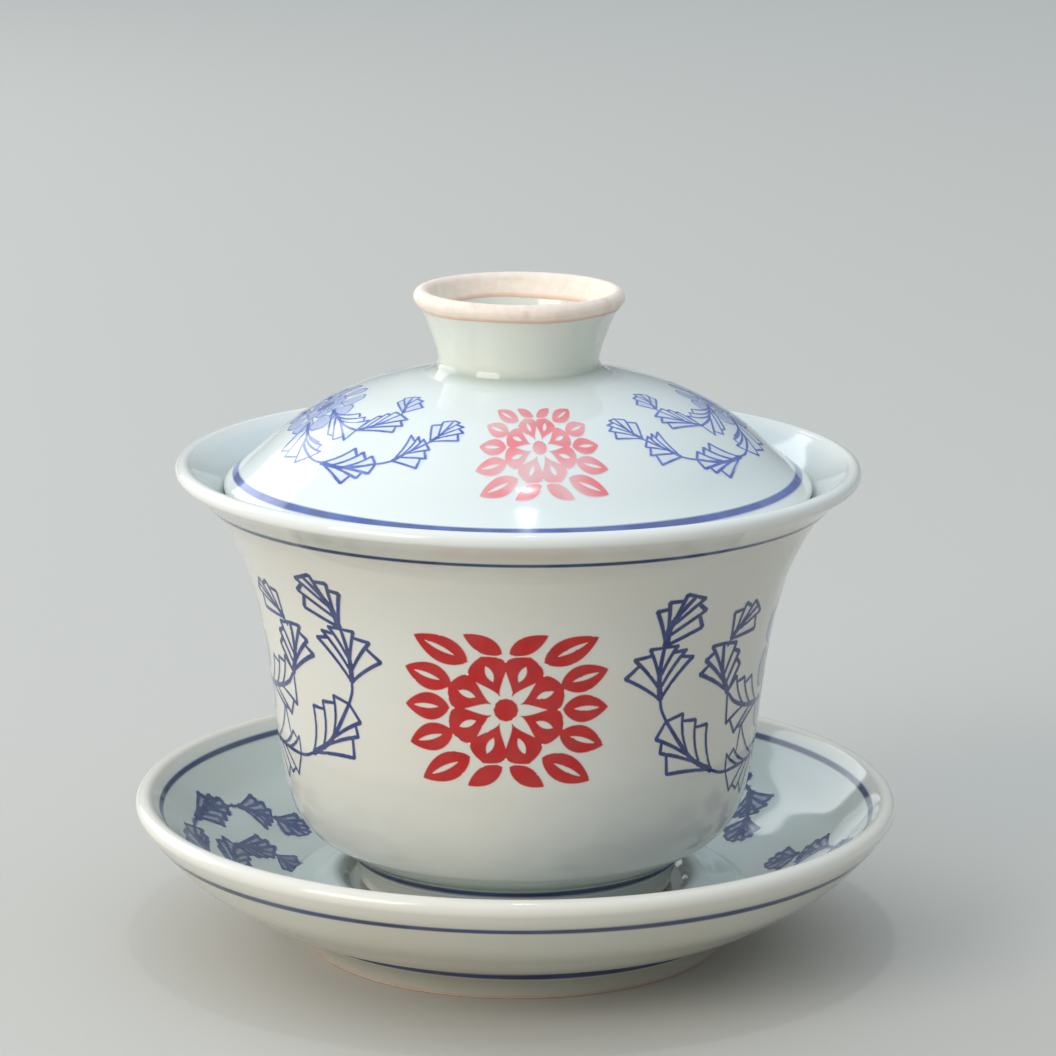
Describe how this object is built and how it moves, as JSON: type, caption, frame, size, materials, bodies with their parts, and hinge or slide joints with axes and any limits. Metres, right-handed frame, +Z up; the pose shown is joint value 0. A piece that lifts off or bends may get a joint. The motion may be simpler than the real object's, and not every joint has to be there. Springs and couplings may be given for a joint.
{
  "type": "gaiwan",
  "caption": "Porcelain lidded tea bowl with a flared mouth on a dished saucer; the domed lid has a hollow ring knob and rests inside the bowl's mouth.",
  "frame": {"origin": "centre of the saucer's foot ring, on the surface it stands on", "axes": "+Z up along the axis that all three pieces share; +X to the right and -Y to the front as drawn"},
  "size_m": [0.1126, 0.1126, 0.0976],
  "materials": {
    "saucer_glaze": "clear gloss glaze with a grey-green cast over white porcelain",
    "bowl_glaze": "clear gloss glaze with a warm grey-white cast over white porcelain",
    "lid_glaze": "clear gloss glaze with a bluish cast over white porcelain",
    "cobalt_paint": "cobalt brushwork under the gloss glaze",
    "red_enamel": "opaque red overglaze enamel, a little less glossy than the glaze",
    "bare_porcelain": "unglazed, matt, fine-grained, with tan flashing at the glaze line"
  },
  "bodies": {
    "saucer": {"saucer": "saucer_glaze"},
    "bowl": {"bowl": "bowl_glaze"},
    "lid": {"lid": "lid_glaze"}
  },
  "joints": [
    {"name": "bowl_lift", "type": "slide", "parent": "saucer", "child": "bowl", "axis": [0, 0, 1], "range_m": [0, 0.08]},
    {"name": "lid_lift", "type": "slide", "parent": "bowl", "child": "lid", "axis": [0, 0, 1], "range_m": [0, 0.07]}
  ]
}
